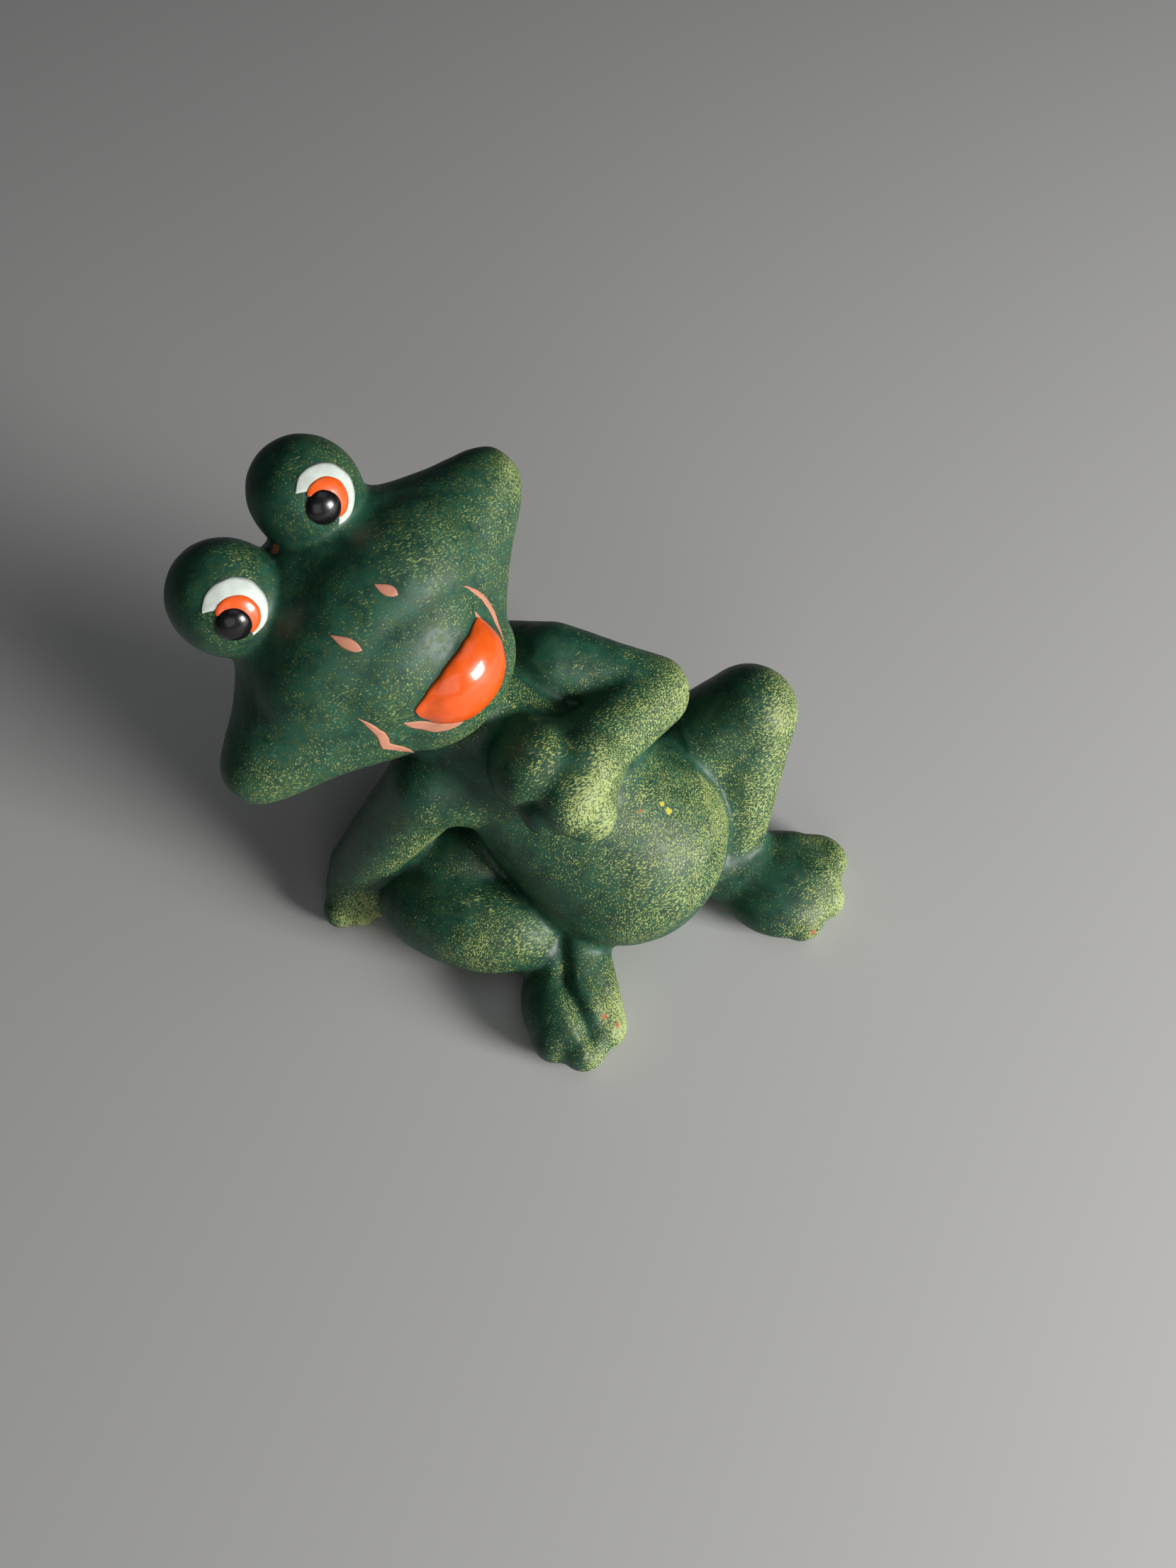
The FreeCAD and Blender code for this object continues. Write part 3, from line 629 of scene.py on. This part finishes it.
spots = {}
for side in ("left", "right"):
    eye = eyes[side]
    spots[side + "_eye_white"] = dict(
        eyeTips(eye, eye["chord"], eye["whiteTurn"], eye["whiteHalf"]), bows=eyes["whiteBows"], side=-1,
        thick=0.1, edge=0.25, wobble=0.1, steps=44, cuts=9)
    spots[side + "_iris"] = dict(
        eyeTips(eye, eye["pupil"], eyes["irisTurn"], eyes["irisHalf"]), bows=eyes["irisBows"], side=-1,
        thick=0.2, edge=0.3, wobble=0.06)
    spots[side + "_pupil"] = dict(
        eyeTips(eye, eye["pupil"], 0, eyes["pupilRadius"]), bows=(eyes["pupilRadius"], -eyes["pupilRadius"]),
        thick=0.6, edge=1.4, wobble=0.05, steps=40, cuts=15)
spots.update({
    "left_nostril_mark": dict(tips=((2.87, -9.8, 3.4), (3.43, -10.1, 1.25)), facing=(0.12, -0.97, 0.15),
                              bows=(0.45, -0.45), lean=0.45, thick=0.08, edge=0.25, wobble=0.12),
    "right_nostril_mark": dict(tips=((-2.8, -9.7, 3.6), (-2.1, -10.3, 0.75)), facing=(-0.12, -0.97, 0.15),
                               bows=(0.48, -0.48), lean=0.4, thick=0.08, edge=0.25, wobble=0.12),
    "left_smile_line": dict(tips=((7.5, -8.0, -2.9), (6.3, -5.8, -9.3)), facing=(0.55, -0.8, -0.2), side=1,
                            bows=(1.8, 1.1), thick=0.08, edge=0.2, wobble=0.16, steps=48),
    "right_smile_line": dict(tips=((-7.0, -8.6, -2.7), (-6.9, -2.6, -9.9)), facing=(-0.4, -0.75, -0.5),
                             side=-1, bows=(1.05, 0.05), elbow=(0.12, 2.0), thick=0.08, edge=0.2,
                             wobble=0.16, steps=48),
    "lower_lip_line": dict(tips=((-4.95, -7.5, -6.2), (-1.5, -6.7, -10.8)), facing=(-0.4, -0.8, -0.45),
                           side=-1, bows=(1.35, 0.1), thick=0.08, edge=0.25, wobble=0.14),
    "mouth_corner_mark": dict(tips=((6.6, -7.3, -5.0), (5.9, -6.8, -6.5)), facing=(0.4, -0.8, -0.4),
                              bows=(0.3, -0.2), thick=0.07, edge=0.2, wobble=0.12),
    "tongue": dict(tips=((-3.5, -8.2, -6.1), (6.3, -7.2, -5.6)), facing=(0.12, -0.82, -0.56), side=-1,
                   bows=(6.0, -0.8), cast=(0.1, -0.95, -0.3), thick=0.35, edge=0.9, wobble=0.14, steps=56,
                   cuts=24),
})
paint = {name: paintPatch(name, spot) for name, spot in spots.items()}
print("paint patches:", len(paint))


# shader maths

class Wire:
    # a node's output that can be used in sums
    def __init__(self, finish, socket):
        self.finish, self.socket = finish, socket

    def maths(self, operation, first, second):
        return self.finish.add("ShaderNodeMath", {"operation": operation}, {0: first, 1: second})

    def __add__(self, other):
        return self.maths("ADD", self, other)

    def __sub__(self, other):
        return self.maths("SUBTRACT", self, other)

    def __rsub__(self, other):
        return self.maths("SUBTRACT", other, self)

    def __mul__(self, other):
        return self.maths("MULTIPLY", self, other)

    __radd__ = __add__


class Finish:
    # a procedural material: its shader, and one way to add any node
    def __init__(self, name, values):
        self.material = bpy.data.materials.new(name)
        self.material.use_nodes = True
        self.nodes = self.material.node_tree.nodes
        self.nodes.clear()
        self.shader = self.nodes.new("ShaderNodeBsdfPrincipled")
        output = self.nodes.new("ShaderNodeOutputMaterial")
        self.material.node_tree.links.new(self.shader.outputs[0], output.inputs[0])
        for name, value in values.items():
            self.feed(self.shader.inputs[name], value)

    def feed(self, socket, value):
        if isinstance(value, Wire):
            self.material.node_tree.links.new(value.socket, socket)
        elif socket.type == "RGBA":
            socket.default_value = (*value, 1.0)
        else:
            socket.default_value = value

    def add(self, kind, settings, inputs, output=0):
        node = self.nodes.new(kind)
        for key, value in settings.items():
            setattr(node, key, value)
        for key, value in inputs.items():
            self.feed(node.inputs[key], value)
        return Wire(self, node.outputs[output])

    def between(self, factor, low, high):
        # low where the factor is 0, high where it is 1
        return self.add("ShaderNodeMix", {"data_type": "RGBA"}, {0: factor, 6: low, 7: high}, 2)

    def step(self, value, low, high):
        # 0 below low, 1 above high
        settings = {"interpolation_type": "SMOOTHSTEP"}
        return self.add("ShaderNodeMapRange", settings, {"Value": value, "From Min": low, "From Max": high})

    def millimetres(self, scale=(1, 1, 1), turn=(0, 0, 0)):
        place = self.add("ShaderNodeTexCoord", {}, {}, "Object")
        scale = tuple(s / mm for s in scale)
        turn = tuple(math.radians(t) for t in turn)
        return self.add("ShaderNodeMapping", {}, {"Vector": place, "Scale": scale, "Rotation": turn})

    def attribute(self, name):
        return self.add("ShaderNodeAttribute", {"attribute_name": name}, {}, "Fac")

    def grainy(self, place, scale, detail=2.0, roughness=0.5):
        inputs = {"Vector": place, "Scale": scale, "Detail": detail, "Roughness": roughness}
        return self.add("ShaderNodeTexNoise", {}, inputs, "Fac")

    def bump(self, height, strength, distance):
        inputs = {"Height": height, "Strength": strength, "Distance": distance}
        self.feed(self.shader.inputs["Normal"], self.add("ShaderNodeBump", {}, inputs))


# the sponged green: colours, then waves per mm and limits of each layer
green = {
    "base": (0.015, 0.090, 0.052),
    "deep": (0.008, 0.052, 0.031),
    "film": (0.028, 0.080, 0.032),
    "fleck": (0.30, 0.36, 0.085),
    "pale": (0.42, 0.52, 0.26),
    "yellow": (0.60, 0.55, 0.06),
    "terracotta": (0.42, 0.13, 0.05),
    "dabs": ((2.6, 7.5, 7.5), (0, 0, 25)),      # short dabs, and the way the sponge was dragged
    "crossDabs": ((7.0, 7.0, 2.8), (20, 10, 0)),
    "dragSize": 0.16,
    "dragEdge": (0.44, 0.56),
    "patchSize": 0.4,
    "patchAmount": 0.7,
    "reach": 0.21,                              # how much more of the grain shows where the cover is high, which includes its painted light
    "fleckEdge": (0.665, 0.715),
    "paleEdge": (0.735, 0.79),
    "filmSize": 1.5,
    "filmReach": 0.22,
    "filmEdge": (0.52, 0.70),
    "toneSize": 0.5,
    "toneEdge": (0.35, 0.65),
    "chipEdge": (0.62, 0.7),
    "yellowEdge": (0.72, 0.8),
    "raggedSize": 3.0,
    "roughness": 0.47,
    "pitSize": 2.5,
    "relief": 0.05,                             # mm
}


def greenPaint():
    finish = Finish("spongedGreen", {"IOR": 1.5})
    flat = finish.millimetres()
    # the sponge attribute is the speckle cover, painted light and shade included
    speckleAndLight = finish.attribute("sponge")
    soft = finish.attribute("soft")
    dabs = finish.grainy(finish.millimetres(*green["dabs"]), 1.0)
    cross = finish.grainy(finish.millimetres(*green["crossDabs"]), 1.0)
    which = finish.step(finish.grainy(flat, green["dragSize"], 1.0), *green["dragEdge"])
    grain = dabs * which + cross * (1 - which)
    patches = finish.grainy(flat, green["patchSize"], 3.0)
    speckleAndLight = speckleAndLight + (patches - 0.5) * green["patchAmount"]
    reach = grain + speckleAndLight * green["reach"]
    flecks = finish.step(reach, *green["fleckEdge"])
    pale = finish.step(reach, *green["paleEdge"])
    cloud = finish.grainy(flat, green["filmSize"], 3.0)
    film = finish.step(cloud + speckleAndLight * green["filmReach"], *green["filmEdge"])
    tone = finish.grainy(flat, green["toneSize"])
    ragged = finish.grainy(flat, green["raggedSize"], 3.0) - 0.5
    chips = finish.step(finish.attribute("chips") + ragged * 0.9, *green["chipEdge"])
    yellow = finish.step(finish.attribute("yellow") + ragged * 1.2, *green["yellowEdge"])
    colour = finish.between(finish.step(tone, *green["toneEdge"]), green["deep"], green["base"])
    # the head and eyes get more dark film and fewer pale flecks, partly painted shade
    colour = finish.between(film * (0.7 + soft * 0.25), colour, green["film"])
    colour = finish.between(flecks * (1 - soft * 0.5), colour, green["fleck"])
    colour = finish.between(pale * (0.7 - soft * 0.35), colour, green["pale"])
    colour = finish.between(yellow, colour, green["yellow"])
    colour = finish.between(chips, colour, green["terracotta"])
    finish.feed(finish.shader.inputs["Base Color"], colour)
    roughness = green["roughness"] + flecks * 0.15 + film * 0.1 + (tone - 0.5) * 0.2
    finish.feed(finish.shader.inputs["Roughness"], roughness)
    pits = finish.grainy(flat, green["pitSize"], 3.0)
    finish.bump(flecks * 0.5 + pits * 0.8, 0.3, green["relief"] * mm)
    return finish.material


# every enamel: colour, roughness and how much clear coat shows
enamels = {
    "whiteEnamel": ((0.72, 0.80, 0.74), 0.3, 0.3),
    "orangeEnamel": ((0.93, 0.12, 0.012), 0.28, 0.4),
    "blackEnamel": ((0.006, 0.006, 0.007), 0.26, 0.2),
    "tongueEnamel": ((0.93, 0.12, 0.012), 0.26, 0.5),
    "pinkStroke": ((0.62, 0.27, 0.17), 0.5, 0.0),
    "thin": 0.86,       # how dark the colour is where it was brushed thin
    "toneSize": 1.2,    # waves per mm
    "brushSize": 1.6,
    "relief": 0.04,     # mm
}


def enamel(name):
    colour, roughness, coat = enamels[name]
    finish = Finish(name, {"IOR": 1.5, "Coat Weight": coat, "Coat Roughness": 0.08})
    flat = finish.millimetres()
    tone = finish.grainy(flat, enamels["toneSize"], 3.0)
    darker = tuple(c * enamels["thin"] for c in colour)
    colour = finish.between(finish.step(tone, 0.3, 0.7), darker, colour)
    finish.feed(finish.shader.inputs["Base Color"], colour)
    finish.feed(finish.shader.inputs["Roughness"], roughness + (tone - 0.5) * 0.08)
    finish.bump(finish.grainy(flat, enamels["brushSize"], 3.0), 0.2, enamels["relief"] * mm)
    return finish.material


spongedGreen = greenPaint()
for piece in clayPieces:
    piece.data.materials.append(spongedGreen)
finishes = {
    "eye_white": (enamel("whiteEnamel"), "eye_white"),
    "iris": (enamel("orangeEnamel"), "iris_orange"),
    "pupil": (enamel("blackEnamel"), "pupil_black"),
    "tongue": (enamel("tongueEnamel"), "tongue_orange"),
}
pinkStroke = (enamel("pinkStroke"), "stroke_pink")
for name, piece in paint.items():
    material, slot = next((f for key, f in finishes.items() if name.endswith(key)), pinkStroke)
    piece.data.materials.append(material)
print("materials on")


# floor, light and camera

stage = {
    "floorSize": 1.6,
    "aim": (9.91, 7.13, 0.0),      # mm, the spot on the floor that the camera looks at
    "distance": 150.0,             # mm
    "azimuth": -35.0,
    "elevation": 60.8,
    "angle": 67.3,                 # of the long side
    "clipStart": 0.005,            # m
    "floorGrey": 0.6,
    "floorDrop": 0.02,             # mm under the figurine
    "lampHeight": 0.03,            # m, the height that every lamp is aimed at
    # lamps: the way to it, distance and size in m, power in W, colour
    "lamps": {
        "windowKey": ((0.44, -0.85, 0.27), 0.5, (0.2, 0.16), 3.4, (1.0, 0.98, 0.95)),
        "floorBounce": ((-0.45, -0.8, 0.4), 0.5, (0.3, 0.3), 0.3, (1.0, 0.98, 0.95)),
        "softTop": ((0.3, -0.2, 1.0), 0.6, (0.4, 0.4), 0.25, (0.93, 0.97, 1.0)),
    },
    "roomColour": (0.9, 0.94, 1.0, 1.0),
    "roomStrength": 0.03,
}


def floorPiece():
    form = bmesh.new()
    bmesh.ops.create_grid(form, x_segments=8, y_segments=8, size=stage["floorSize"] / 2)
    floor = collect(form, "floor")
    finish = Finish("paleFloor", {"Base Color": (stage["floorGrey"],) * 3, "Roughness": 0.75})
    floor.data.materials.append(finish.material)
    floor.location.z = -stage["floorDrop"] * mm


def areaLight(name, direction, distance, size, power, colour):
    light = bpy.data.lights.new(name, "AREA")
    light.shape = "RECTANGLE"
    light.size, light.size_y = size
    light.energy, light.color = power, colour
    lamp = bpy.data.objects.new(name, light)
    lamp.location = Vector(direction).normalized() * distance + Vector((0, 0, stage["lampHeight"]))
    lamp.rotation_euler = Vector(direction).to_track_quat("Z", "Y").to_euler()
    bpy.context.scene.collection.objects.link(lamp)


def roomWorld():
    world = bpy.data.worlds.new("paleRoom")
    world.use_nodes = True
    background = world.node_tree.nodes["Background"]
    background.inputs["Color"].default_value = stage["roomColour"]
    background.inputs["Strength"].default_value = stage["roomStrength"]
    bpy.context.scene.world = world
    bpy.context.scene.view_settings.view_transform = "Standard"


def setCamera():
    camera = bpy.data.objects.new("camera", bpy.data.cameras.new("camera"))
    azimuth, elevation = math.radians(stage["azimuth"]), math.radians(stage["elevation"])
    level = math.cos(elevation)
    back = Vector((math.sin(azimuth) * level, -math.cos(azimuth) * level, math.sin(elevation)))
    camera.location = Vector(stage["aim"]) * mm + back * stage["distance"] * mm
    camera.rotation_euler = back.to_track_quat("Z", "Y").to_euler()
    camera.data.sensor_fit = "VERTICAL"
    camera.data.lens_unit = "FOV"
    camera.data.angle = math.radians(stage["angle"])
    camera.data.clip_start = stage["clipStart"]
    bpy.context.scene.collection.objects.link(camera)
    bpy.context.scene.camera = camera


floorPiece()
for name, lamp in stage["lamps"].items():
    areaLight(name, *lamp)
roomWorld()
setCamera()
print("stage set")
